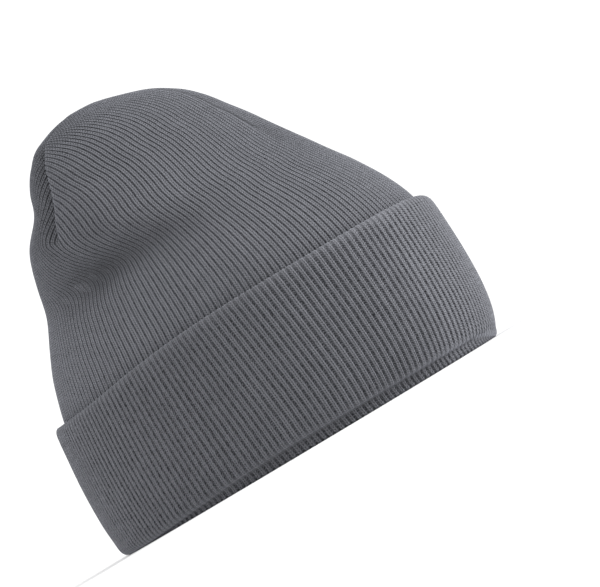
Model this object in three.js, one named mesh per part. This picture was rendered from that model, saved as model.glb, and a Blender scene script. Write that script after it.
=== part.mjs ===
// Cuffed knit beanie: a double-layer rib-knit hat with a turned-up cuff and a crown closed by darts.
// Millimetres, +Z up. The hat stands on its rim; the origin is below the middle of the cuff, on the
// surface it stands on. The wearer looks towards -Y and their left hand is towards +X.
// Angles are in degrees round +Z, from the front (0) towards +X (90).
import * as THREE from 'three';

// ---- Driving dimensions, millimetres and degrees ----
const LAYER = 1.5;                // thickness of one relaxed knit layer
const GAP = 0.35;                 // clearance between layers that lie on each other
const CUFF_CLEARANCE = 1.6;       // the turn-up stands this far off the hat's side
const CROWN_GAP = 3;              // space between the two layers of the crown, where the seams lie
const FOLD_HEIGHT = 5;            // height of the rounded fold at the rim
const FOLD_LAND = 2.4;            // width of the flat that the rim stands on
const ROLL_LEVEL = 60.4;          // level at which the free edge of the turn-up starts to roll over

// Outer face of the hat, as [height, half width along X, half depth along Y], from the rim to the apex.
// The cuff is oval as a head is; the crown is flattened, with a ridge that runs from side to side.
const BODY = [
  [5, 82.7, 96.6], [17, 84.5, 98.7], [31, 85, 99.2], [47, 84.3, 98.4], [63, 82.7, 96.6], [79, 78.7, 90.3],
  [93, 73.5, 82], [105, 70.5, 71.8], [116, 70.5, 61.6], [126, 70.2, 51], [136, 67, 42], [146, 60.3, 34.5],
  [155, 53.5, 28.5], [163, 45.5, 21.5], [170.4, 31, 14], [176.4, 0, 0],
];

// Drift of the hat's middle with height, as [height, drift], towards +X and -Y.
const DRIFT = [
  [0, -2.6], [16, -0.9], [32, 0], [64, 0.9], [84, 0], [104, -1], [120, -3.6], [132, -5.4], [144, -6.2],
  [156, -7.2], [166, -9.8], [180, -17],
];

const EDGE_RISE = { height: 7.6, angle: -23, spread: 68, top: 130 };   // the turn-up is taller in front
const HOLLOWS = [
  { angle: -80, level: 108, spreadAngle: 27, spreadLevel: 9, depth: 8 },
  { angle: -125, level: 144.5, spreadAngle: 28, spreadLevel: 7.5, depth: 3.4 },
];

// Darts: angle of each outer seam, and of the lining's, which lie between them.
const OUTER_DARTS = { front: 40, right: 130, back: 190, left: -79 };
const LINING_DARTS = { front_right: 85, back_right: 160, back_left: 235, front_left: -20 };
const DART_START = 130;
const DART_END = 172.5;
const SEAM_RADIUS = 0.6;
const TACK = { radius: 5, thickness: 0.6, spacing: 1.5 };   // the knots that draw the darts together

const LABEL = {
  angle: 180, width: 24, from: 16, to: 50, thickness: 0.5, clearance: 0.9,
  tackWidth: 5, tackHeight: 1.4, tackThickness: 0.6, tackInset: 2, tackTurn: 5,
};

// Mesh resolution
const COLUMNS = 36;
const CUFF_ROWS = 4;
const CROWN_ROWS = 13;
const ARC_STEPS = 3;
const SEAM_STEPS = 9;
const SEAM_SIDES = 6;
const CURVE_STEPS = 1600;
const NUDGE = 0.05;               // step for slopes

const DEG = Math.PI / 180;
const STACK = CUFF_CLEARANCE + LAYER + GAP + LAYER;   // from the hat's side out to the turn-up's face
const INNER_STACK = LAYER + GAP + LAYER;              // from the hat's side in to the lining's face
const { smoothstep, mapLinear, lerp, euclideanModulo } = THREE.MathUtils;
const range = (from, to, steps) => Array.from({ length: steps + 1 }, (_, i) => lerp(from, to, i / steps));

// ---- The hat's shape ----
// The body's curve runs up its outer face and just past the apex. Places on it go by arc length.
const [highest, width, depth] = BODY.at(-2);
const bodyCurve = new THREE.CatmullRomCurve3(
  [...BODY, [highest, -width, -depth]].map((point) => new THREE.Vector3(...point)),
  false,
  'catmullrom',
);
const belowApex = (BODY.length - 1) / BODY.length;
const samples = range(0, belowApex, CURVE_STEPS).map((share) => bodyCurve.getPoint(share));
const meanRadius = (sample) => Math.hypot(sample.y, sample.z) * Math.SQRT1_2;
const lengths = [0];
for (let i = 1; i < samples.length; i++) {
  const stepUp = samples[i].x - samples[i - 1].x;
  const stepOut = meanRadius(samples[i]) - meanRadius(samples[i - 1]);
  lengths.push(lengths[i - 1] + Math.hypot(stepUp, stepOut));
}
const TOTAL = lengths.at(-1);

// Height, half width and half depth at an arc length; below the start the side runs straight down.
function bodyAt(length) {
  const inside = THREE.MathUtils.clamp(length, 0, TOTAL);
  const i = Math.max(1, lengths.findIndex((value) => value >= inside));
  const share = mapLinear(inside, lengths[i - 1], lengths[i], 0, 1);
  const point = samples[i - 1].clone().lerp(samples[i], share);
  point.x += Math.min(0, length);
  return point;
}

function lengthAt(level) {
  const i = Math.max(1, samples.findIndex((sample) => sample.x >= level));
  return mapLinear(level, samples[i - 1].x, samples[i].x, lengths[i - 1], lengths[i]);
}

const driftCurve = new THREE.SplineCurve(DRIFT.map(([level, shift]) => new THREE.Vector2(level, shift)));
const driftSamples = driftCurve.getPoints(CURVE_STEPS);

function drift(level) {
  const i = driftSamples.findIndex((sample) => sample.x >= Math.max(level, FOLD_HEIGHT));
  const [before, after] = [driftSamples[i - 1], driftSamples[i]];
  return mapLinear(Math.max(level, FOLD_HEIGHT), before.x, after.x, before.y, after.y) * Math.SQRT1_2;
}

const turnFrom = (angle, middle) => euclideanModulo(angle - middle + 180, 360) - 180;

// Depth of the soft hollows where the slack crown has sunk in.
function hollow(angle, level) {
  let depth = 0;
  for (const dent of HOLLOWS) {
    const across = turnFrom(angle, dent.angle) / dent.spreadAngle;
    const up = (level - dent.level) / dent.spreadLevel;
    depth += dent.depth * Math.exp(-across * across - up * up);
  }
  return depth;
}

function rise(angle, level) {
  const across = turnFrom(angle, EDGE_RISE.angle) / EDGE_RISE.spread;
  const below = smoothstep(level, FOLD_HEIGHT, ROLL_LEVEL);
  const above = 1 - smoothstep(level, ROLL_LEVEL, EDGE_RISE.top);
  return EDGE_RISE.height * Math.exp(-(across ** 4)) * below * above;
}

// A point of the outer face, from its angle and its arc length up from the rim.
function facePoint(angle, length) {
  const { x: level, y: halfWidth, z: halfDepth } = bodyAt(length);
  const shift = drift(level);
  const dent = hollow(angle, level);
  return new THREE.Vector3(
    (halfWidth - dent) * Math.sin(angle * DEG) + shift,
    -(halfDepth - dent) * Math.cos(angle * DEG) - shift,
    level + rise(angle, level),
  );
}

// The same point moved in from the outer face by a depth.
function place(angle, length, depth) {
  const point = facePoint(angle, length);
  if (length > TOTAL - NUDGE) return point.setZ(point.z - depth);
  const across = facePoint(angle + NUDGE, length).sub(facePoint(angle - NUDGE, length));
  const up = facePoint(angle, length + NUDGE / 2).sub(facePoint(angle, length - NUDGE / 2));
  return point.addScaledVector(across.cross(up).normalize(), -depth);
}

// Depth of the lining's outer face: it lies on the outer layer below and hangs free in the crown.
const liningDepth = (length) => LAYER + GAP + (CROWN_GAP - GAP) * smoothstep(bodyAt(length).x, 72, 100);

// ---- Building blocks ----
// A closed section of [arc length, depth] points, carried round the hat. It is first turned as a flat
// lathe shape, whose radius is the way left to the apex, and then laid on the hat.
function ring(section) {
  const flat = section.map(([length, depth]) => new THREE.Vector2(TOTAL - length, -depth));
  const geometry = new THREE.LatheGeometry(flat, COLUMNS);
  const position = geometry.attributes.position;
  for (let i = 0; i < position.count; i++) {
    const angle = Math.atan2(position.getX(i), position.getZ(i)) / DEG;
    const length = TOTAL - Math.hypot(position.getX(i), position.getZ(i));
    const point = place(angle, length, -position.getY(i));
    position.setXYZ(i, point.x, point.y, point.z);
  }
  geometry.computeVertexNormals();
  return geometry;
}

// A wall between two depths over a run of arc lengths, open at both ends of the run.
function wall(run, outerDepth, innerDepth) {
  const outside = run.map((length) => [length, outerDepth]);
  const inside = run.map((length) => [length, innerDepth]).reverse();
  return ring([...outside, ...inside, outside[0]]);
}

// A shell between two depths over a run of arc lengths that ends at the apex.
function dome(run, outerDepth, innerDepth) {
  const outside = run.map((length) => [length, outerDepth(length)]);
  const inside = run.map((length) => [length, innerDepth(length)]).reverse();
  return ring([...inside, ...outside]);
}

// [arc length, depth] points of an oval arc about a middle; 0 degrees is outwards and 90 up.
function arc(middle, depthHalf, lengthHalf, from, to, steps) {
  return range(from * DEG, to * DEG, steps).map(
    (turn) => [middle[0] + lengthHalf * Math.sin(turn), middle[1] - depthHalf * Math.cos(turn)],
  );
}

const CUFF_RUN = range(0, lengthAt(ROLL_LEVEL), CUFF_ROWS);
const CROWN_RUN = range(lengthAt(ROLL_LEVEL), lengthAt(DART_END), CROWN_ROWS);
const HUNG_RUN = [GAP, ...CUFF_RUN.slice(1), ...CROWN_RUN.slice(1), TOTAL - TACK.radius, TOTAL];

// The visible turn-up: it comes from under the rim, runs up outside, and rolls in at its free edge.
function cuffFacing() {
  const middle = (INNER_STACK - STACK) / 2;
  const half = (INNER_STACK + STACK - FOLD_LAND) / 2;
  const outCorner = [0, middle - FOLD_LAND / 2];
  const inCorner = [0, middle + FOLD_LAND / 2];
  const foldFace = [
    ...arc(inCorner, half, FOLD_HEIGHT, 180, 270, ARC_STEPS),
    ...arc(outCorner, half, FOLD_HEIGHT, 270, 360, ARC_STEPS),
  ];
  const foldBack = [
    ...arc(outCorner, half - LAYER, FOLD_HEIGHT - LAYER, 360, 270, ARC_STEPS),
    ...arc(inCorner, half - LAYER, FOLD_HEIGHT - LAYER, 270, 180, ARC_STEPS),
  ];
  const face = CUFF_RUN.slice(1).map((length) => [length, -STACK]);
  const back = CUFF_RUN.slice(1).map((length) => [length, LAYER - STACK]).reverse();
  const rollHalf = LAYER + GAP / 2;
  const rollMiddle = [CUFF_RUN.at(-1), rollHalf - STACK];
  const roll = arc(rollMiddle, rollHalf, rollHalf, 0, 180, 2 * ARC_STEPS).slice(1);
  const rollBack = arc(rollMiddle, GAP / 2, GAP / 2, 180, 0, 2).slice(0, -1);
  return ring([...foldFace, ...face, ...roll, ...rollBack, ...back, ...foldBack, foldFace[0]]);
}

// A thread seam between the layers, at one angle, from the start of the dart towards the apex.
function seam(angle, depth) {
  const run = range(lengthAt(DART_START), lengthAt(DART_END), SEAM_STEPS);
  const path = new THREE.CatmullRomCurve3(run.map((length) => place(angle, length, depth)));
  const corners = range(0, 2 * Math.PI, SEAM_SIDES).slice(1).map(
    (turn) => new THREE.Vector2(SEAM_RADIUS * Math.cos(turn), SEAM_RADIUS * Math.sin(turn)),
  );
  const settings = { steps: SEAM_STEPS, bevelEnabled: false, extrudePath: path };
  return new THREE.ExtrudeGeometry(new THREE.Shape(corners), settings);
}

// The knot that draws the darts together: a small cap under the apex.
function tack(depth) {
  return dome([TOTAL - TACK.radius, TOTAL], () => depth, () => depth + TACK.thickness);
}

// A thin patch bent round the inside of the lining, between two levels and two depths.
function patch(angle, width, levels, depths, across, up) {
  const geometry = new THREE.BoxGeometry(1, 1, 1, across, up, 1);
  const position = geometry.attributes.position;
  const reach = bodyAt(lengthAt(levels[0])).y * DEG;
  for (let i = 0; i < position.count; i++) {
    const length = lengthAt(lerp(...levels, position.getY(i) + 0.5));
    const depth = lerp(...depths, position.getZ(i) + 0.5);
    const point = place(angle + (position.getX(i) * width) / reach, length, depth);
    position.setXYZ(i, point.x, point.y, point.z);
  }
  geometry.computeVertexNormals();
  return geometry;
}

// ---- The object ----
const YARN = { color: 0x5b5d63, roughness: 0.95, metalness: 0 };
const THREAD = { color: 0x4c4e54, roughness: 0.8, metalness: 0 };
const SATIN = { color: 0xe8e6e1, roughness: 0.45, metalness: 0 };

const beanie = new THREE.Group();

function add(name, geometry, finish) {
  const mesh = new THREE.Mesh(geometry, new THREE.MeshStandardMaterial(finish));
  mesh.name = name;
  beanie.add(mesh);
}

// Fabric layers, from the outside in
const backingRun = [GAP, ...CUFF_RUN.slice(1, -1), CUFF_RUN.at(-1) - GAP];
add('cuff_facing', cuffFacing(), YARN);
add('cuff_backing', wall(backingRun, -CUFF_CLEARANCE - LAYER, -CUFF_CLEARANCE), YARN);
add('outer_layer', dome(HUNG_RUN, () => 0, () => LAYER), YARN);
add('lining_layer', dome(HUNG_RUN, liningDepth, (length) => liningDepth(length) + LAYER), YARN);

// Seams of the darts, in the space between the two layers of the crown
const betweenLayers = LAYER + CROWN_GAP / 2;
for (const [side, angle] of Object.entries(OUTER_DARTS)) {
  add(`crown_seam_${side}`, seam(angle, betweenLayers), THREAD);
}
for (const [side, angle] of Object.entries(LINING_DARTS)) {
  add(`lining_seam_${side}`, seam(angle, betweenLayers), THREAD);
}
add('crown_tack', tack(betweenLayers - (TACK.spacing + TACK.thickness) / 2), THREAD);
add('lining_tack', tack(betweenLayers + (TACK.spacing - TACK.thickness) / 2), THREAD);

// Blank care label on the inside of the back, held by a bar tack at each upper corner
const labelBack = INNER_STACK + LABEL.clearance;
const labelFace = labelBack + LABEL.thickness;
const labelLevels = [LABEL.from, LABEL.to];
add('care_label', patch(LABEL.angle, LABEL.width, labelLevels, [labelFace, labelBack], 4, 4), SATIN);
const tackTop = LABEL.to - LABEL.tackInset;
const tackLevels = [tackTop - LABEL.tackHeight, tackTop];
const tackDepths = [labelFace + GAP + LABEL.tackThickness, labelFace + GAP];
for (const [side, turn] of [['left', 1], ['right', -1]]) {
  const angle = LABEL.angle + turn * LABEL.tackTurn;
  add(`label_tack_${side}`, patch(angle, LABEL.tackWidth, tackLevels, tackDepths, 1, 1), THREAD);
}

export default beanie;
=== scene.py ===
"""Cuffed knit beanie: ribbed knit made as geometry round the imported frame, with a studio set."""
import math

import bpy
import numpy as np
from mathutils import Matrix, Vector


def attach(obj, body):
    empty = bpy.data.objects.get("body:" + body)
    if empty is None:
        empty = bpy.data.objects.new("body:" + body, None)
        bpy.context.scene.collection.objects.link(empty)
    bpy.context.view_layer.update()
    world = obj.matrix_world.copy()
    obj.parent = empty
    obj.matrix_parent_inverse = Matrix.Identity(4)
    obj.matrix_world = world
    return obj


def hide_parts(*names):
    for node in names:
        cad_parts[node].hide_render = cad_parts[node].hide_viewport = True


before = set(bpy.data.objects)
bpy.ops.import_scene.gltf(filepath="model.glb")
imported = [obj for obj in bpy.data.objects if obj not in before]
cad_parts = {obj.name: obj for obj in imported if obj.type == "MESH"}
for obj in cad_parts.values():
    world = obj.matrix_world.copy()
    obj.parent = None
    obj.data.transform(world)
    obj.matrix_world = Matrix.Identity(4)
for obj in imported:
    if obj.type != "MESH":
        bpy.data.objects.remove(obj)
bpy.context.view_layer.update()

# ---- Driving dimensions: millimetres and degrees ----
LAYER = 1.5                # thickness of one knit layer
GAP = 0.35                 # clearance between layers that lie on each other
CUFF_CLEARANCE = 1.6       # the turn-up stands this far off the hat's side
CROWN_GAP = 3              # space between the two layers of the crown
FOLD_HEIGHT = 5            # height of the rounded fold at the rim
FOLD_LAND = 2.4            # width of the flat that the rim stands on
ROLL_LEVEL = 60.4          # where the free edge of the turn-up starts to roll over
STACK = CUFF_CLEARANCE + 2 * LAYER + GAP
INNER_STACK = 2 * LAYER + GAP

COURSE = 1.12              # height of one row of stitches
# Section of a rib: how far each of its two legs is from its middle, and a leg's half width, in ribs.
CUFF_RIB, CROWN_RIB, INNER_RIB = (0.128, 0.145), (0.2, 0.222), (0.16, 0.18)
# Depth of the furrows between the ribs.
CUFF_RELIEF, CROWN_RELIEF, LINING_RELIEF, BACKING_RELIEF = 1.0, 0.56, 0.7, 0.6

# Outer face of the hat, as height, half width along X and half depth along Y, from rim to apex.
BODY = [
    (5, 82.7, 96.6), (17, 84.5, 98.7), (31, 85, 99.2), (47, 84.3, 98.4), (63, 82.7, 96.6),
    (79, 78.7, 90.3), (93, 73.5, 82), (105, 70.5, 71.8), (116, 70.5, 61.6), (126, 70.2, 51),
    (136, 67, 42), (146, 60.3, 34.5), (155, 53.5, 28.5), (163, 45.5, 21.5), (170.4, 31, 14),
    (176.4, 0, 0),
]
# Sideways drift of the hat's middle with height, towards +X and -Y.
DRIFT = [
    (0, -2.6), (16, -0.9), (32, 0), (64, 0.9), (84, 0), (104, -1), (120, -3.6), (132, -5.4),
    (144, -6.2), (156, -7.2), (166, -9.8), (180, -17),
]
EDGE_RISE = {"height": 7.6, "angle": -23, "spread": 68, "top": 130}    # the turn-up is taller in front
# Where the crown sinks in: the middle, how far it reaches in degrees and millimetres, and the depth.
HOLLOWS = [
    {"angle": -80, "level": 108, "spread": (27, 9), "depth": 8},
    {"angle": -125, "level": 144.5, "spread": (28, 7.5), "depth": 3.4},
]

# The gores of the crown in order round the hat: name, ribs, share of ribs that end on its first seam.
GORES = [("front", 46, 0.8), ("right", 43, 0.5), ("back", 43, 0.5), ("left", 44, 0.5)]
RIBS = sum(ribs for _, ribs, _ in GORES)
# Angle where the first gore starts, by level, and the share of the round that it takes up.
FIRST_SEAM = [
    (0, -75), (60, -75), (85, -75.5), (105, -77), (113, -78.8), (119, -80.3), (130, -82),
    (145, -79), (163, -80.5), (176.4, -84),
]
FRONT_SHARE = [
    (0, 0.235), (60, 0.235), (80, 0.238), (95, 0.242), (105, 0.252), (113, 0.272), (119, 0.289),
    (130, 0.325), (142, 0.344), (152, 0.356), (163, 0.385), (176.4, 0.43),
]
DART_LEVEL = 130
OUTER_DARTS = {"front": 40, "right": 130, "back": 190, "left": -79}
LINING_DARTS = {"front_right": 85, "back_right": 160, "back_left": 235, "front_left": -20}
SEAM_LEVELS = (DART_LEVEL, 172.5)

MM = 0.001
ROOT = "root"
CURVE_STEPS = 160          # samples between two points of a curve
TOP_STOP = 0.3             # the outer layer stops this far short of the apex
LINING_TOP_STOP = 1.2      # and the lining this far
APEX_CLEAR = 0.4           # directions are taken no nearer to the apex than this
LINING_PARTS = (72, 100)   # the lining leaves the outer layer between these levels


# ---- Shape of the hat ----
def spline(points, lead_in=None):
    """A uniform Catmull-Rom curve through the points, sampled finely."""
    p = np.array(points, float)
    p = np.vstack([p[:1] if lead_in is None else [lead_in], p, p[-1:]])
    w = np.linspace(0, 1, CURVE_STEPS, endpoint=False)[:, None]
    parts = []
    for a, b, c, d in zip(p, p[1:], p[2:], p[3:]):
        v0, v1 = (c - a) / 2, (d - b) / 2
        cubic, square = 2 * b - 2 * c + v0 + v1, 3 * c - 3 * b - 2 * v0 - v1
        parts.append(cubic * w**3 + square * w**2 + v0 * w + b)
    return np.vstack([*parts, p[-1:]])


def smooth(x, low, high):
    """An even step from 0 at low to 1 at high."""
    t = np.clip((np.asarray(x, float) - low) / (high - low), 0, 1)
    return t * t * (3 - 2 * t)


def bell(distance, spread, power=2):
    """1 in the middle, falling to nothing beyond the spread; a higher power has a flatter top."""
    return np.exp(-((distance / spread) ** power))


def turn_from(angle, middle):
    """Signed angle from the middle, within half a turn."""
    return (np.asarray(angle, float) - middle + 180) % 360 - 180


past_apex = (BODY[-2][0], -BODY[-2][1], -BODY[-2][2])
body = spline([*BODY, past_apex], 2 * np.array(BODY[0]) - BODY[1])
body = body[:(len(BODY) - 1) * CURVE_STEPS + 1]
mean_radius = np.hypot(body[:, 1], body[:, 2]) * math.sqrt(0.5)
lengths = np.concatenate([[0], np.cumsum(np.hypot(np.diff(body[:, 0]), np.diff(mean_radius)))])
TOTAL = lengths[-1]
drift_curve = spline(DRIFT)
first_seam_curve = spline(FIRST_SEAM)
front_share_curve = spline(FRONT_SHARE)


def body_at(s):
    """Height, half width and half depth at arc length s up from the rim."""
    level, width, depth = (np.interp(s, lengths, column) for column in body.T)
    return level + np.minimum(s, 0), width, depth


def length_at(level):
    """Arc length up from the rim at a height."""
    return np.interp(level, body[:, 0], lengths)


def inside(patch, angle, level):
    """How far inside a soft-edged patch of the hat a place is, from 0 to 1."""
    across = turn_from(angle, patch["angle"]) / patch["spread"][0]
    up = (level - patch["level"]) / patch["spread"][1]
    return np.exp(-across**2 - up**2)


def face_point(angle, s):
    """A point of the outer face, from its angle and its arc length."""
    level, width, depth = body_at(s)
    shift = np.interp(np.maximum(level, FOLD_HEIGHT), *drift_curve.T) * math.sqrt(0.5)
    dent = sum(hollow["depth"] * inside(hollow, angle, level) for hollow in HOLLOWS)
    rise = EDGE_RISE["height"] * bell(turn_from(angle, EDGE_RISE["angle"]), EDGE_RISE["spread"], 4)
    rise = rise * smooth(level, FOLD_HEIGHT, ROLL_LEVEL)
    rise = rise * (1 - smooth(level, ROLL_LEVEL, EDGE_RISE["top"]))
    turn = np.radians(angle)
    return np.stack(np.broadcast_arrays(
        (width - dent) * np.sin(turn) + shift, -(depth - dent) * np.cos(turn) - shift, level + rise,
    ), -1)


def face_normal(angle, s):
    """Unit normal of the outer face, from points a little to the sides, above and below."""
    step = 0.05
    s = np.minimum(s, TOTAL - APEX_CLEAR)
    across = face_point(angle + step, s) - face_point(angle - step, s)
    up = face_point(angle, s + step) - face_point(angle, s - step)
    normal = np.cross(across, up)
    return normal / np.maximum(np.linalg.norm(normal, axis=-1, keepdims=True), 1e-12)


def place(angle, s, depth):
    """Points moved in from the outer face by a depth."""
    return face_point(angle, s) - face_normal(angle, s) * np.asarray(depth)[..., None]


def lining_depth(s):
    """Depth of the lining's outer side."""
    return LAYER + GAP + (CROWN_GAP - GAP) * smooth(body_at(s)[0], *LINING_PARTS)


# ---- Ribs round the hat: evenly spaced along the oval, gore by gore ----
LEVEL_STEPS, SHARE_STEPS, TURN_STEPS = 239, 1024, 1440


def round_table(levels, shares):
    """Angle of each share of the way round at each level, from the first seam."""
    rows = []
    for level, start in zip(levels, np.interp(levels, *first_seam_curve.T)):
        _, width, depth = body_at(length_at(min(level, levels[-1] - APEX_CLEAR)))
        angle = np.linspace(start, start + 360, TURN_STEPS + 1)
        points = np.stack([width * np.sin(np.radians(angle)), depth * np.cos(np.radians(angle))])
        way = np.concatenate([[0], np.cumsum(np.linalg.norm(np.diff(points), axis=0))])
        rows.append(np.interp(shares, way / way[-1], angle))
    return np.array(rows)


LEVELS, SHARES = np.linspace(0, BODY[-1][0], LEVEL_STEPS + 1), np.linspace(0, 1, SHARE_STEPS + 1)
ROUND = round_table(LEVELS, SHARES)


def angle_at(share, level):
    """Angle of a share of the way round at a level."""
    turns = np.floor(share)
    row, column = np.broadcast_arrays(
        np.clip(level / LEVELS[-1], 0, 1) * (len(LEVELS) - 1), (share - turns) * (len(SHARES) - 1),
    )
    i = np.minimum(row.astype(int), len(LEVELS) - 2)
    j = np.minimum(column.astype(int), len(SHARES) - 2)
    v, w = row - i, column - j
    low = ROUND[i, j] * (1 - w) + ROUND[i, j + 1] * w
    high = ROUND[i + 1, j] * (1 - w) + ROUND[i + 1, j + 1] * w
    return low * (1 - v) + high * v + 360 * turns


def seam_share(index, level):
    """Share of the way round of the seam where a gore starts; index 4 closes the round."""
    front = np.interp(level, *front_share_curve.T)
    if index == 0:
        return 0 * front
    return front + (1 - front) * (index - 1) / (len(GORES) - 1)


def rib_angle(rib, level):
    """Angle of a rib of the whole round, below the darts."""
    edge, share = 0, 0
    for index, (_, ribs, _) in enumerate(GORES):
        low, high = seam_share(index, level), seam_share(index + 1, level)
        share = np.where(rib >= edge, low + (high - low) * (rib - edge) / ribs, share)
        edge += ribs
    return angle_at(share, level) + wander(rib)


def wander(rib):
    """Small sideways unevenness of the ribs, in degrees, the same at both ends of the round."""
    turn = np.asarray(rib) / RIBS * 2 * math.pi
    return 0.10 * np.sin(17 * turn) + 0.07 * np.sin(31 * turn + 1.3)


# Each rib stands a little more or less proud than the next.
rib_gains = np.random.default_rng(7).uniform(0.93, 1.03, RIBS)


def rib_height(rib, leg, half):
    """Height of the knit across one rib: a rounded leg on each side of its middle, and the furrow."""
    off = np.abs(rib % 1 - 0.5)
    across = np.clip(np.abs(off - leg) / half, 0, 1)
    return np.sqrt(1 - across**2) * rib_gains[np.floor(rib).astype(int) % RIBS]


# ---- Mesh building ----
def ring_normals(points):
    """Unit normals of a grid of points whose columns go all the way round."""
    along = np.gradient(points, axis=0)
    across = (np.roll(points, -1, 1) - np.roll(points, 1, 1)) / 2
    normal = np.cross(across, along)
    return normal / np.maximum(np.linalg.norm(normal, axis=2, keepdims=True), 1e-9)


def make_object(name, points, faces, **layers):
    """A mesh object from millimetre points and face arrays; each named layer holds a pair per vertex."""
    mesh = bpy.data.meshes.new(name)
    faces = [np.asarray(f, np.int32) for f in faces]
    loops = np.concatenate([f.ravel() for f in faces])
    sizes = np.concatenate([np.full(len(f), f.shape[1], np.int32) for f in faces])
    starts = np.concatenate([[0], np.cumsum(sizes)[:-1]]).astype(np.int32)
    mesh.vertices.add(len(points))
    mesh.vertices.foreach_set("co", (np.asarray(points) * MM).astype(np.float32).ravel())
    mesh.loops.add(len(loops))
    mesh.loops.foreach_set("vertex_index", loops.astype(np.int32))
    mesh.polygons.add(len(starts))
    mesh.polygons.foreach_set("loop_start", starts)
    mesh.polygons.foreach_set("loop_total", sizes)
    mesh.update(calc_edges=True)
    mesh.polygons.foreach_set("use_smooth", np.ones(len(starts), bool))
    for layer_name, pairs in layers.items():
        layer = mesh.uv_layers.new(name=layer_name)
        layer.data.foreach_set("uv", np.asarray(pairs)[loops].astype(np.float32).ravel())
    piece = bpy.data.objects.new(name, mesh)
    bpy.context.scene.collection.objects.link(piece)
    return piece


def grid_faces(rows, columns, round_columns=False, round_rows=False):
    """Quads of a grid of points laid out row by row, which can close on itself either way."""
    r, c = np.arange(rows - (not round_rows))[:, None], np.arange(columns - (not round_columns))
    below, right = (r + 1) % rows, (c + 1) % columns
    corners = (r * columns + c, r * columns + right, below * columns + right, below * columns + c)
    return np.stack(np.broadcast_arrays(*corners), -1).reshape(-1, 4)


def ring_piece(name, s, depth, weight, rib_shape, relief, sub, shade=1.0, ribs_at=rib_angle):
    """A closed section of arc lengths and depths, carried round the hat and ribbed where weight is 1.

    s and depth have a row for each point of the section, and one column or one for each place round.
    A rib takes up sub columns.
    """
    rib = np.arange(RIBS * sub) / sub
    s, depth = np.broadcast_arrays(s, depth)
    angle = ribs_at(rib[None, :], body_at(s)[0])
    base = place(angle, np.broadcast_to(s, angle.shape), np.broadcast_to(depth, angle.shape))
    around = np.concatenate([base[-1:], base, base[:1]])
    normal = ring_normals(around)[1:-1]
    height = (rib_height(rib, *rib_shape)[None, :] - 1) * relief * weight
    points = base + normal * height[..., None]
    quads = grid_faces(*angle.shape, True, True)
    way = np.linalg.norm(np.diff(base[:, 0], axis=0, prepend=base[:1, 0]), axis=1)
    courses = np.cumsum(way) / COURSE
    uv = np.stack(np.broadcast_arrays(rib[None, :], courses[:, None]), -1).reshape(-1, 2)
    tone = np.stack(np.broadcast_arrays(weight, shade, angle)[:2], -1).reshape(-1, 2)
    piece = make_object(name, points.reshape(-1, 3), [quads], tone=tone)
    # On the faces that close the round, the rib coordinate runs on to the last rib, not back to 0.
    corner_uv = uv[quads]
    column = quads % len(rib)
    closing = column.max(1) == len(rib) - 1
    corner_uv[..., 0] += np.where(closing[:, None] & (column == 0), RIBS, 0)
    layer = piece.data.uv_layers.new(name="knit")
    layer.data.foreach_set("uv", corner_uv.astype(np.float32).ravel())
    return piece


def arc(middle, depth_half, length_half, first, last, steps):
    """Arc length and depth of points of an oval; 0 degrees is outwards and 90 up."""
    turn = np.radians(np.linspace(first, last, steps + 1))
    return np.stack([middle[0] + length_half * np.sin(turn), middle[1] - depth_half * np.cos(turn)], 1)


def add_piece(piece, material, slot, *nodes):
    """Give a piece its material, and let it stand in for nodes of the frame; slot is not used."""
    piece.data.materials.append(material)
    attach(piece, ROOT)
    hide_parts(*nodes)


# ---- The turn-up ----
CUFF_SUB, CUFF_ROWS, BAND_ROWS = 12, 15, 3       # columns to a rib, rows of the face and of the band
ROLL_DROP = 1.8             # the rolled edge is this much taller than it is thick
CUFF_STRETCH = {"amount": 0.017, "share": 0.09}          # how far ribs crowd together, as a share
CUFF_LEAN = {"turn": -6.5, "angle": -47, "spread": 36}
BAND = {"height": 5.7, "least": 0.3}     # the fold's inner layer shows this far below the face
BAND_ANGLES = (-116, -50, 2, 38)         # it rises between the first two and falls between the others
CORNER = {"angle": 50, "spread": 34, "height": 8}        # the rim fold is rounder at one side
FOLD_RAISE = 0.75           # the fold's top moves up by this share of the band's height
# How strongly the ribs show on the band, up the fold, and over the rolled edge.
BAND_RIBS = 0.9
FOLD_RIBS = (0.05, 0.1, 0.25, 0.5, 0.8, 1, 1)
ROLL_RIBS = (0.9, 0.7, 0.45, 0.3, 0.2, 0.15, 0.1, 0.1)
# Painted shade on the band that shows under the fold.
BAND_SHADE = 0.87
CUFF_PAINTED_LIGHT = {"amount": 0.2, "angle": 2, "spread": 14}   # a painted highlight on the turn-up near its front


def cuff_rib_angle(rib, level):
    """Angle of a rib of the turn-up, closer together in front, where it leans a little."""
    share = rib / RIBS
    share = share - CUFF_STRETCH["amount"] * np.sin(2 * math.pi * (share - CUFF_STRETCH["share"]))
    angle = angle_at(share, ROLL_LEVEL * 0.75) + wander(rib)
    lean = CUFF_LEAN["turn"] * bell(turn_from(angle, CUFF_LEAN["angle"]), CUFF_LEAN["spread"])
    return angle + lean * (level / ROLL_LEVEL - 0.5)


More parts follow.
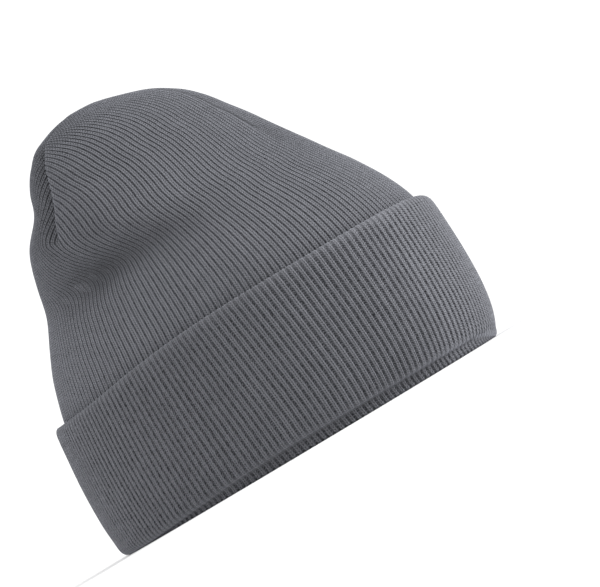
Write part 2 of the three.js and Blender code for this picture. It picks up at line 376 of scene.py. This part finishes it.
def cuff():
    """The turn-up: inner side, rim fold, the band below its face, outer face, rolled edge, and back."""
    rib = np.arange(RIBS * CUFF_SUB) / CUFF_SUB
    turn = turn_from(cuff_rib_angle(rib, FOLD_HEIGHT), 0)
    here = smooth(turn, *BAND_ANGLES[:2]) * (1 - smooth(turn, *BAND_ANGLES[2:]))
    band = BAND["least"] + (BAND["height"] - BAND["least"]) * here
    middle = (INNER_STACK - STACK) / 2
    half = (INNER_STACK + STACK - FOLD_LAND) / 2
    out_corner, in_corner = (0, middle - FOLD_LAND / 2), (0, middle + FOLD_LAND / 2)
    top = length_at(ROLL_LEVEL)
    face = np.linspace(0, top - ROLL_DROP, CUFF_ROWS + 1)[1:, None] * (1, 0) + (0, -STACK)
    roll_half = LAYER + GAP / 2
    roll_middle = (top - ROLL_DROP, roll_half - STACK)
    inner = arc(in_corner, half, FOLD_HEIGHT, 180, 270, 3)
    under = np.repeat([(-FOLD_HEIGHT, out_corner[1])], BAND_ROWS, 0)
    outer = arc(out_corner, half, FOLD_HEIGHT, 270, 360, 6)
    roll = arc(roll_middle, roll_half, roll_half + ROLL_DROP, 0, 180, 7)[1:]
    roll_back = arc(roll_middle, GAP / 2, GAP / 2, 180, 0, 2)[:-1]
    back = face[::-6] + (0, LAYER)
    out_back = arc(out_corner, half - LAYER, FOLD_HEIGHT - LAYER, 360, 270, 2)
    in_back = arc(in_corner, half - LAYER, FOLD_HEIGHT - LAYER, 270, 180, 2)
    section = np.vstack([inner, under, outer, face, roll, roll_back, back, out_back, in_back])
    # Rows of the section: the band starts at under_row, the fold at lead, the face after fold_top.
    under_row, lead, rows = len(inner), len(inner) + BAND_ROWS, len(section)
    fold = slice(lead, lead + len(outer))
    fold_top = fold.stop - 1
    face_top, easing = fold_top + CUFF_ROWS, 8
    raised, rounder, shows, shade = np.zeros(rows), np.zeros(rows), np.zeros(rows), np.ones(rows)
    raised[under_row:lead] = np.arange(BAND_ROWS) / BAND_ROWS
    raised[fold] = np.linspace(1, FOLD_RAISE, len(outer))
    raised[fold_top:fold_top + easing] = np.linspace(FOLD_RAISE, 0, easing)
    raised[-len(out_back) - len(in_back):-len(in_back)] = 1
    rounder[fold] = (outer[:, 0] + FOLD_HEIGHT) / FOLD_HEIGHT
    rounder[fold_top:face_top + 1] = np.linspace(1, 0, CUFF_ROWS + 1)
    shows[:lead] = BAND_RIBS
    shows[fold] = FOLD_RIBS
    shows[fold_top:face_top] = 1
    shows[face_top:face_top + len(ROLL_RIBS)] = ROLL_RIBS
    # The band under the fold is painted darker, as shade.
    shade[under_row - 1:lead] = BAND_SHADE
    near = bell(turn - CORNER["angle"], CORNER["spread"]) * CORNER["height"]
    s = section[:, :1] + raised[:, None] * band + rounder[:, None] * near
    depth = section[:, 1:] + 0 * s
    # A painted highlight lightens the turn-up near its front.
    light = 1 + CUFF_PAINTED_LIGHT["amount"] * bell(turn - CUFF_PAINTED_LIGHT["angle"], CUFF_PAINTED_LIGHT["spread"])
    return ring_piece("cuff_face", s, depth, shows[:, None], CUFF_RIB, CUFF_RELIEF, CUFF_SUB,
                      shade[:, None] * light, cuff_rib_angle)


# ---- Crown gores ----
GORE_SUB = {"front": 11, "right": 10, "back": 10, "left": 10}     # columns to a rib
CROWN_FINE_ROWS, CROWN_HIDDEN_ROWS, BACK_STEP = 132, 8, 10
HIDDEN_LEVEL = 50           # rows are far apart up to here, behind the turn-up
DART_SAMPLES = 3000
DART_SETS_IN = (DART_LEVEL - 6, DART_LEVEL + 4)
SEAM_DIP = 1.8              # depth of the dart seams' grooves
SEAM_LAP = 0.25             # neighbouring gores pass each other by this much at a seam
LEAST_SPAN = 4              # and by less where a gore is narrower than this
# Half width of the groove at a gore's first and last seam, and how much the ribs fade there.
SEAM_SPREAD = {"front": (1.1, 1.2), "right": (1.2, 1.2), "back": (1.2, 1.2), "left": (1.2, 4.0)}
SEAM_PLAIN = {"front": (0, 0.85), "right": (0.85, 0.85), "back": (0.85, 0.85), "left": (0.85, 0)}
PLAIN_REACH = 3
APEX_DIP = {"depth": 1.4, "reach": 5}
APEX_RIBS, APEX_STITCHES = (2, 12), (1, 8)     # ribs and stitches fade in between these radii
LOOSE_EDGE = 0.1            # ribs keep straight within this share of a gore from its seams
# Ribs of the left gore spread and stand out where they meet its last seam.
FLARE = {"turn": 1.7, "share": 0.07, "relief": 0.595, "reach": 7}
# Painted shade in the crown's colour: in the seam grooves and the hollow, darker with height, lighter to
# the left and darker to the right, darker across the front high up and in a patch at mid height.
GROOVE_SHADE, HOLLOW_SHADE, HOLLOW_BLUR = 0.17, 0.38, 0.65
CROWN_SHADE = {"amount": 0.11, "levels": (85, 125)}
SIDE_SHADE = {"start": 1.06, "amount": 0.19, "angles": (-30, 50), "middle": -45}
FRONT_SHADE = {"amount": 0.11, "levels": (100, 140), "angle": -50, "spread": 30}
FLANK_SHADE = {"amount": 0.18, "angle": -48, "level": 105, "spread": (20, 10)}


def knit_shade(angle, level, dip):
    """How light the crown's colour is at a place under its painted shade, which lies deeper by dip."""
    side = smooth(turn_from(angle, SIDE_SHADE["middle"]), *SIDE_SHADE["angles"])
    front = bell(turn_from(angle, FRONT_SHADE["angle"]), FRONT_SHADE["spread"], 4)
    shade = (1 - GROOVE_SHADE * dip) * (1 - HOLLOW_SHADE * inside(HOLLOWS[0], angle, level))
    shade = shade * (1 - CROWN_SHADE["amount"] * smooth(level, *CROWN_SHADE["levels"]))
    shade = shade * (SIDE_SHADE["start"] - SIDE_SHADE["amount"] * side)
    shade = shade * (1 - FRONT_SHADE["amount"] * smooth(level, *FRONT_SHADE["levels"]) * front)
    return shade * (1 - FLANK_SHADE["amount"] * inside(FLANK_SHADE, angle, level))


def gore(index, first_rib):
    """One gore of the outer layer, from the rim to the seams on its two sides."""
    name, ribs, lean = GORES[index]
    rib = np.linspace(0, ribs, ribs * GORE_SUB[name] + 1)
    columns = len(rib)
    # Ribs end on the seams as the gore narrows; held is how many are left at each height.
    fine = np.linspace(length_at(DART_LEVEL), TOTAL - TOP_STOP, DART_SAMPLES)
    level = body_at(fine)[0]
    span = seam_share(index + 1, level) - seam_share(index, level)
    span = span * np.interp(fine, lengths, mean_radius)
    dropped = ribs - ribs * np.minimum.accumulate(span / span[0])
    end = np.interp(np.minimum(rib / lean, (ribs - rib) / (1 - lean)), dropped, fine)
    s_cuff = length_at(HIDDEN_LEVEL)
    hidden = np.linspace(GAP, s_cuff, CROWN_HIDDEN_ROWS, endpoint=False)[:, None] + 0 * rib
    share = np.linspace(0, 1, CROWN_FINE_ROWS + 1)[:, None]
    s = np.vstack([hidden, s_cuff + share * (end - s_cuff)])
    held = ribs - np.interp(s, fine, dropped)
    # Place of each point across the gore, from its first seam at 0 to its last at 1.
    side = np.clip((rib - lean * (ribs - held)) / held, 0, 1)
    z, radius = body_at(s)[0], np.interp(s, lengths, mean_radius)
    low, high = seam_share(index, z), seam_share(index + 1, z)
    across = (high - low) * 2 * math.pi * radius
    from_first, from_last = side * across, (1 - side) * across
    dart = smooth(z, *DART_SETS_IN)
    flare = dart * (name == "left")
    loose = smooth(side, 0, LOOSE_EDGE) * smooth(1 - side, 0, LOOSE_EDGE)
    spaced = 1 - (1 - side) * (1 + FLARE["turn"] * flare * np.exp((side - 1) / FLARE["share"]))
    lap = SEAM_LAP * dart / np.maximum(across, LEAST_SPAN)
    turned = low + (high - low) * (spaced * (1 + 2 * lap) - lap)
    angle = angle_at(turned, z) + wander(rib + first_rib) * loose
    face = face_point(angle, s)
    normal = face_normal(angle, s)
    first_spread, last_spread = SEAM_SPREAD[name]
    dip = SEAM_DIP * dart * np.minimum(bell(from_first, first_spread) + bell(from_last, last_spread), 1)
    dip = dip + APEX_DIP["depth"] * bell(radius, APEX_DIP["reach"])
    first_plain, last_plain = SEAM_PLAIN[name]
    plain = first_plain * bell(from_first, PLAIN_REACH) + last_plain * bell(from_last, PLAIN_REACH)
    ribbed = 1 - dart * np.minimum(plain, 1)
    height = 1 - (1 - rib_height(rib + first_rib, *CROWN_RIB)) * smooth(radius, *APEX_RIBS) * ribbed
    relief = CROWN_RELIEF + FLARE["relief"] * flare * bell(from_last, FLARE["reach"])
    outer = face - normal * (dip + (1 - height) * relief)[..., None]
    inner = (face - normal * (dip + LAYER)[..., None])[::BACK_STEP]
    rows, last = len(s), columns - 1
    points = np.concatenate([outer.reshape(-1, 3), inner.reshape(-1, 3)])
    offset = rows * columns
    c = np.arange(last)
    top_out, top_in = (rows - 1) * columns, offset + (len(inner) - 1) * columns
    foot = np.stack([offset + c, offset + c + 1, c + 1, c], 1)
    top = np.stack([top_out + c, top_out + c + 1, top_in + c + 1, top_in + c], 1)
    sides = []
    for j in range(len(inner) - 1):
        edge = np.arange(j * BACK_STEP, (j + 1) * BACK_STEP + 1) * columns
        lower, upper = offset + j * columns, offset + (j + 1) * columns
        sides.append(np.concatenate([edge, [upper, lower]])[None, ::-1])
        sides.append(np.concatenate([edge + last, [upper + last, lower + last]])[None, :])
    back = (grid_faces(len(inner), columns) + offset)[:, ::-1]
    faces = [grid_faces(rows, columns), back, foot, top, *sides]
    knit = np.stack([np.broadcast_to(rib + first_rib, s.shape), s / COURSE], -1)
    stitches = smooth(radius, *APEX_STITCHES) * ribbed * (1 - HOLLOW_BLUR * inside(HOLLOWS[0], angle, z))
    tone = np.stack([stitches, knit_shade(angle, z, np.clip(dip, 0, SEAM_DIP))], -1)
    knit, tone = (np.concatenate([a.reshape(-1, 2), a[::BACK_STEP].reshape(-1, 2)]) for a in (knit, tone))
    return make_object(f"crown_gore_{name}", points, faces, knit=knit, tone=tone)


# ---- Lining and backing ----
LINING_ROWS, LINING_BACK_STEP, LINING_SUB = 77, 4, 5
LINING_RIBS = (6, 40)       # the lining's ribs fade in between these radii
BACKING_ROWS, BACKING_SUB = 20, 6


def lining():
    """The inner hat: a closed shell from the rim over the crown, ribbed on its inner side."""
    s = np.linspace(GAP, TOTAL - LINING_TOP_STOP, LINING_ROWS)
    inner, outer = s[::-1], s[::LINING_BACK_STEP]
    rows = np.concatenate([inner, outer])[:, None]
    depth = np.concatenate([lining_depth(inner) + LAYER, lining_depth(outer)])[:, None]
    shows = smooth(np.interp(inner, lengths, mean_radius), *LINING_RIBS)
    shows = np.concatenate([shows, 0 * outer])[:, None]
    return ring_piece("lining", rows, depth, shows, INNER_RIB, LINING_RELIEF, LINING_SUB)


def backing():
    """The turn-up's hidden layer, ribbed towards the hat's side."""
    s = np.linspace(GAP, length_at(ROLL_LEVEL) - ROLL_DROP - GAP, BACKING_ROWS)
    rows = np.concatenate([s, s[::-1]])[:, None]
    depth = np.repeat([-CUFF_CLEARANCE - LAYER, -CUFF_CLEARANCE], len(s))[:, None]
    shows = np.repeat([0.0, 1.0], len(s))[:, None]
    return ring_piece("cuff_inner_layer", rows, depth, shows, INNER_RIB, BACKING_RELIEF, BACKING_SUB)


# ---- Thread: dart seams and tacks ----
THREAD_RADIUS, THREAD_LAY = 0.6, 2.2      # the strands make one turn in a lay
THREAD_SIDES, THREAD_STEPS = 12, 240
STRAND_RELIEF, END_SIZE = 0.20, 0.35      # as shares of the radius


def thread_tube(name, path):
    """A closed rope round a path: two strands twisted together, narrow at its ends."""
    ahead = np.gradient(path, axis=0)
    ahead /= np.linalg.norm(ahead, axis=1, keepdims=True)
    side = np.cross(ahead, (0.3, 0.9, 0.2))      # no seam runs along this direction
    side /= np.linalg.norm(side, axis=1, keepdims=True)
    over = np.cross(side, ahead)
    way = np.concatenate([[0], np.cumsum(np.linalg.norm(np.diff(path, axis=0), axis=1))])
    corner = np.linspace(0, 2 * math.pi, THREAD_SIDES, endpoint=False)
    twist = 2 * math.pi * way[:, None] / THREAD_LAY
    reach = THREAD_RADIUS * (1 - STRAND_RELIEF + STRAND_RELIEF * np.abs(np.cos(corner - twist)))
    reach[[0, -1]] *= END_SIZE
    round_it = np.cos(corner)[:, None] * side[:, None] + np.sin(corner)[:, None] * over[:, None]
    points = path[:, None] + reach[..., None] * round_it
    rows, count = reach.shape
    ends = [np.arange(count)[None, ::-1], np.arange(count)[None, :] + (rows - 1) * count]
    return make_object(name, points.reshape(-1, 3), [grid_faces(rows, count, True), *ends])


def seam_path(angle):
    """Middle of a dart's seam, between the two layers of the crown."""
    s = np.linspace(*length_at(SEAM_LEVELS), THREAD_STEPS)
    return place(np.full(len(s), float(angle)), s, np.full(len(s), LAYER + CROWN_GAP / 2))


# ---- Materials ----
# Noises: features to the metre, and detail.
STITCH_NOISE, RIB_NOISE, PURL_NOISE = (900, 1.0), (650, 2.0), (1500, 1.0)
FIBRE_NOISE, MELANGE_NOISE = (3800, 3.0), (160, 3.0)
STITCH_JITTER, RIB_SWAY = 0.35, 0.2       # in stitches and in ribs
STITCH_SLANT = 2.6          # how steeply a stitch climbs from the middle of its rib
# Bump distances in metres.
STITCH_RELIEF, THREAD_RELIEF, SATIN_RELIEF = 0.00032, 0.00015, 0.0002


def srgb(*values):
    """A linear colour from screen values between 0 and 255."""
    return [((v / 255 + 0.055) / 1.055) ** 2.4 for v in values] + [1]


class Nodes:
    """Short forms for building a node tree."""

    def __init__(self, name):
        self.material = bpy.data.materials.new(name)
        self.material.use_nodes = True
        self.tree = self.material.node_tree
        self.shader = self.tree.nodes["Principled BSDF"]

    def add(self, kind, **settings):
        node = self.tree.nodes.new(kind)
        for key, value in settings.items():
            setattr(node, key, value)
        return node

    def wire(self, value, socket):
        """Feed a socket from another one or with a value."""
        if isinstance(value, bpy.types.NodeSocket):
            self.tree.links.new(value, socket)
        else:
            socket.default_value = value

    def math(self, operation, *values):
        node = self.add("ShaderNodeMath", operation=operation)
        for value, socket in zip(values, node.inputs):
            self.wire(value, socket)
        return node.outputs[0]

    def ramp(self, value, low, high, to_low=0.0, to_high=1.0):
        """A smooth step from to_low, where the value is low, to to_high."""
        node = self.add("ShaderNodeMapRange", interpolation_type="SMOOTHSTEP")
        for v, socket in zip((value, low, high, to_low, to_high), node.inputs):
            self.wire(v, socket)
        return node.outputs[0]

    def pair(self, layer):
        """The two values of a mesh layer."""
        split = self.add("ShaderNodeSeparateXYZ")
        self.wire(self.add("ShaderNodeUVMap", uv_map=layer).outputs[0], split.inputs[0])
        return split.outputs[0], split.outputs[1]

    def mix_value(self, factor, a, b):
        node = self.add("ShaderNodeMix", data_type="FLOAT")
        for value, socket in ((factor, node.inputs[0]), (a, node.inputs[2]), (b, node.inputs[3])):
            self.wire(value, socket)
        return node.outputs[0]

    def noise(self, scale, detail, stretch=None):
        """Noise with so many features to the metre."""
        where = self.add("ShaderNodeTexCoord").outputs["Object"]
        if stretch:
            mapping = self.add("ShaderNodeMapping")
            mapping.inputs["Scale"].default_value = stretch
            self.wire(where, mapping.inputs["Vector"])
            where = mapping.outputs[0]
        node = self.add("ShaderNodeTexNoise")
        node.inputs["Scale"].default_value = scale
        node.inputs["Detail"].default_value = detail
        self.wire(where, node.inputs["Vector"])
        return node.outputs["Fac"]

    def mix(self, factor, a, b, blend="MIX"):
        node = self.add("ShaderNodeMix", data_type="RGBA", blend_type=blend)
        for value, key in ((factor, 0), (a, 6), (b, 7)):
            self.wire(value, node.inputs[key])
        return node.outputs[2]

    def bump(self, height, distance):
        node = self.add("ShaderNodeBump")
        node.inputs["Distance"].default_value = distance
        self.wire(height, node.inputs["Height"])
        self.wire(node.outputs[0], self.shader.inputs["Normal"])

    def constants(self, **values):
        for key, value in values.items():
            self.shader.inputs[key.replace("_", " ")].default_value = value


def knit_material(name, leg, crest, furrow, purl_tone):
    """Ribbed knit: slanted stitches on the two legs of each rib, purl bumps in the furrows, fibre, and
    painted shade in its holes and furrows.
    """
    n = Nodes(name)
    rib, course = n.pair("knit")
    shows, shade = n.pair("tone")
    # Where it is on the rib and on the stitch, a little uneven.
    jitter = n.math("MULTIPLY", n.noise(*STITCH_NOISE), STITCH_JITTER)
    sway = n.math("MULTIPLY", n.math("SUBTRACT", n.noise(*RIB_NOISE), 0.5), RIB_SWAY)
    off = n.math("ABSOLUTE", n.math("SUBTRACT", n.math("FRACT", n.math("ADD", rib, sway)), 0.5))
    slant = n.math("MULTIPLY", off, STITCH_SLANT)
    climb = n.math("ADD", n.math("SUBTRACT", course, slant), jitter)
    stitch = n.math("ABSOLUTE", n.math("SINE", n.math("MULTIPLY", climb, math.pi)))
    shifted = n.math("MULTIPLY", n.math("ADD", climb, jitter), math.pi)
    purl = n.math("ABSOLUTE", n.math("COSINE", shifted))
    fibre, melange = n.noise(*FIBRE_NOISE), n.noise(*MELANGE_NOISE)
    # Colour: legs with holes between them painted dark as shade, and purl bumps on a furrow floor painted
    # dark as shade.
    in_furrow = n.math("MULTIPLY", n.ramp(off, leg + 0.07, leg + 0.17), shows)
    in_groove = n.math("MULTIPLY", n.ramp(off, leg * 0.2, leg * 0.75, 1.0, 0.0), shows)
    hole = n.math("MULTIPLY", in_groove, n.ramp(stitch, 0.2, 0.95, 1.0, 0.2))
    legs = n.mix(hole, crest, furrow)
    bumps = n.math("ADD", n.math("MULTIPLY", purl, 0.45), n.noise(*PURL_NOISE))
    floor = n.mix(n.ramp(bumps, 0.65, 1.0), furrow, purl_tone)
    tone = n.mix(in_furrow, legs, floor)
    # Relief of the stitches, which also paints them lighter on top and darker below as painted shade, and
    # flecks of fibre.
    knit = n.math("MULTIPLY", n.mix_value(in_furrow, stitch, n.math("MULTIPLY", purl, 0.8)), shows)
    light = n.ramp(knit, 0.0, 0.9, 0.78, 1.16)
    light = n.math("MULTIPLY", light, n.ramp(fibre, 0.25, 0.75, 0.72, 1.28))
    light = n.math("MULTIPLY", light, n.ramp(melange, 0.3, 0.7, 0.95, 1.05))
    # Painted shade and light laid out in the mesh's tone layer.
    light = n.math("MULTIPLY", light, shade)
    grey = n.add("ShaderNodeCombineColor")
    for socket in grey.inputs[:3]:
        n.wire(light, socket)
    n.wire(n.mix(1.0, tone, grey.outputs[0], "MULTIPLY"), n.shader.inputs["Base Color"])
    n.wire(n.ramp(fibre, 0.2, 0.8, 0.82, 0.98), n.shader.inputs["Roughness"])
    relief = n.math("ADD", n.math("MULTIPLY", knit, 0.9), n.math("MULTIPLY", fibre, 0.35))
    n.bump(relief, STITCH_RELIEF)
    n.constants(Specular_IOR_Level=0.2, Sheen_Weight=0.36, Sheen_Roughness=0.45)
    n.shader.inputs["Sheen Tint"].default_value = (0.85, 0.88, 1.0, 1)
    return n.material


def thread_material(name, colour):
    """Spun thread: fine strands and loose fibre."""
    n = Nodes(name)
    strand = n.noise(2600, 2.0, (1, 1, 0.35))
    n.wire(n.mix(strand, [0.6 * c for c in colour[:3]] + [1], colour), n.shader.inputs["Base Color"])
    n.wire(n.ramp(strand, 0.2, 0.8, 0.6, 0.85), n.shader.inputs["Roughness"])
    n.bump(strand, THREAD_RELIEF)
    n.constants(Sheen_Weight=0.2)
    return n.material


def satin_material(name, light, dark):
    """Woven satin tape: long floats across it, a little sheen and slight creases."""
    n = Nodes(name)
    floats = n.noise(5200, 2.0, (0.12, 1, 1))
    crease = n.noise(120, 3.0)
    n.wire(n.mix(n.math("MULTIPLY", n.math("ADD", floats, crease), 0.5), dark, light),
           n.shader.inputs["Base Color"])
    n.wire(n.ramp(floats, 0.2, 0.8, 0.32, 0.5), n.shader.inputs["Roughness"])
    n.bump(n.math("ADD", n.math("MULTIPLY", floats, 0.3), crease), SATIN_RELIEF)
    n.constants(Sheen_Weight=0.1)
    return n.material


# The dark colour is painted shade for the holes and furrows of the knit, as is the inner knit's furrow
# colour.
LIGHT_YARN, PAINTED_HOLE_SHADE = srgb(94, 95, 100), srgb(42, 43, 46)
cuff_knit = knit_material("cuff_knit", CUFF_RIB[0], srgb(108, 109, 114), PAINTED_HOLE_SHADE, LIGHT_YARN)
# The crown's knit colours are a little darker than the cuff's, as painted shade.
crown_knit = knit_material("crown_knit", CROWN_RIB[0], srgb(106, 107, 112), PAINTED_HOLE_SHADE, srgb(84, 85, 90))
inner_knit = knit_material("inner_knit", INNER_RIB[0], LIGHT_YARN, srgb(48, 49, 52), srgb(76, 77, 82))
thread = thread_material("seam_thread", srgb(88, 89, 94))
satin = satin_material("label_satin", srgb(238, 236, 231), srgb(212, 209, 203))


# ---- Camera, light and floor ----
# Metres and degrees here; azimuth 0 is the front, -Y.
VIEW_AZIMUTH = -45
VIEW_ROLL = 30.9
CAMERA_DISTANCE = 3.0
CAMERA_HEIGHT = 0.022
VIEW_WIDTH = 0.258                 # width of the view at the hat
VIEW_CENTRE = (0.0272, 0.0589)     # middle of the view: rightwards from the hat's axis, and up
SENSOR = 36
KEY_LAMP = {"azimuth": 38, "elevation": 12, "distance": 1.6, "size": 0.7, "power": 22}
LAMP_AIM = 0.09                    # height that the lamp faces
SKY_STRENGTH = 1.14
FLOOR_HALF = 12
FLOOR_TONES = (0.95, 0.98)


def add_camera():
    """A distant camera, low and tilted, on the hat's front left."""
    turn = math.radians(VIEW_AZIMUTH)
    right = Vector((math.cos(turn), math.sin(turn), 0))
    ahead = Vector((-math.sin(turn), math.cos(turn), 0))
    target = right * VIEW_CENTRE[0] + Vector((0, 0, VIEW_CENTRE[1]))
    place_at = target - ahead * CAMERA_DISTANCE
    place_at.z = CAMERA_HEIGHT
    look = (target - place_at).normalized()
    upright = right.cross(look).normalized()
    roll = math.radians(VIEW_ROLL)
    camera_right = right * math.cos(roll) - upright * math.sin(roll)
    camera_up = right * math.sin(roll) + upright * math.cos(roll)
    data = bpy.data.cameras.new("camera")
    data.sensor_width = SENSOR
    data.lens = SENSOR * CAMERA_DISTANCE / VIEW_WIDTH
    data.clip_start, data.clip_end = 0.1, 60
    camera = bpy.data.objects.new("camera", data)
    axes = Matrix((camera_right, camera_up, -look)).transposed()
    camera.matrix_world = Matrix.Translation(place_at) @ axes.to_4x4()
    bpy.context.scene.collection.objects.link(camera)
    bpy.context.scene.camera = camera


def add_lamp():
    """A square lamp that faces the hat."""
    a, e = math.radians(KEY_LAMP["azimuth"]), math.radians(KEY_LAMP["elevation"])
    way = Vector((math.sin(a) * math.cos(e), -math.cos(a) * math.cos(e), math.sin(e)))
    data = bpy.data.lights.new("key", "AREA")
    data.energy, data.size = KEY_LAMP["power"], KEY_LAMP["size"]
    lamp = bpy.data.objects.new("key", data)
    lamp.location = way * KEY_LAMP["distance"] + Vector((0, 0, LAMP_AIM))
    lamp.rotation_euler = way.to_track_quat("Z", "Y").to_euler()
    bpy.context.scene.collection.objects.link(lamp)


def add_set():
    """An even white sky and a white floor."""
    bpy.context.scene.view_settings.view_transform = "Standard"
    world = bpy.data.worlds.new("studio")
    world.use_nodes = True
    sky = world.node_tree.nodes["Background"]
    sky.inputs["Color"].default_value = (1, 1, 1, 1)
    sky.inputs["Strength"].default_value = SKY_STRENGTH
    bpy.context.scene.world = world
    corners = [(x * FLOOR_HALF, y * FLOOR_HALF, 0) for x, y in ((-1, -1), (1, -1), (1, 1), (-1, 1))]
    mesh = bpy.data.meshes.new("floor")
    mesh.from_pydata(corners, [], [(0, 1, 2, 3)])
    floor = bpy.data.objects.new("floor", mesh)
    bpy.context.scene.collection.objects.link(floor)
    n = Nodes("floor_paper")
    dark, light = ((tone, tone, tone, 1) for tone in FLOOR_TONES)
    n.wire(n.mix(n.noise(40, 4.0), dark, light), n.shader.inputs["Base Color"])
    n.constants(Roughness=0.9, Specular_IOR_Level=0.1)
    mesh.materials.append(n.material)


# ---- Assembly ----
add_camera()
add_lamp()
add_set()

add_piece(cuff(), cuff_knit, "yarn", "cuff_facing")
add_piece(backing(), inner_knit, "yarn", "cuff_backing")
add_piece(lining(), inner_knit, "yarn", "lining_layer")

first_rib = 0
for index, (_, ribs, _) in enumerate(GORES):
    add_piece(gore(index, first_rib), crown_knit, "yarn", "outer_layer")
    first_rib += ribs

for layer, darts in (("crown", OUTER_DARTS), ("lining", LINING_DARTS)):
    for side, angle in darts.items():
        piece = thread_tube(f"{layer}_thread_{side}", seam_path(angle))
        add_piece(piece, thread, "seam_thread", f"{layer}_seam_{side}")

for node, material in (
    ("crown_tack", thread), ("lining_tack", thread), ("care_label", satin),
    ("label_tack_left", thread), ("label_tack_right", thread),
):
    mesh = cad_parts[node].data
    mesh.materials.clear()
    mesh.materials.append(material)
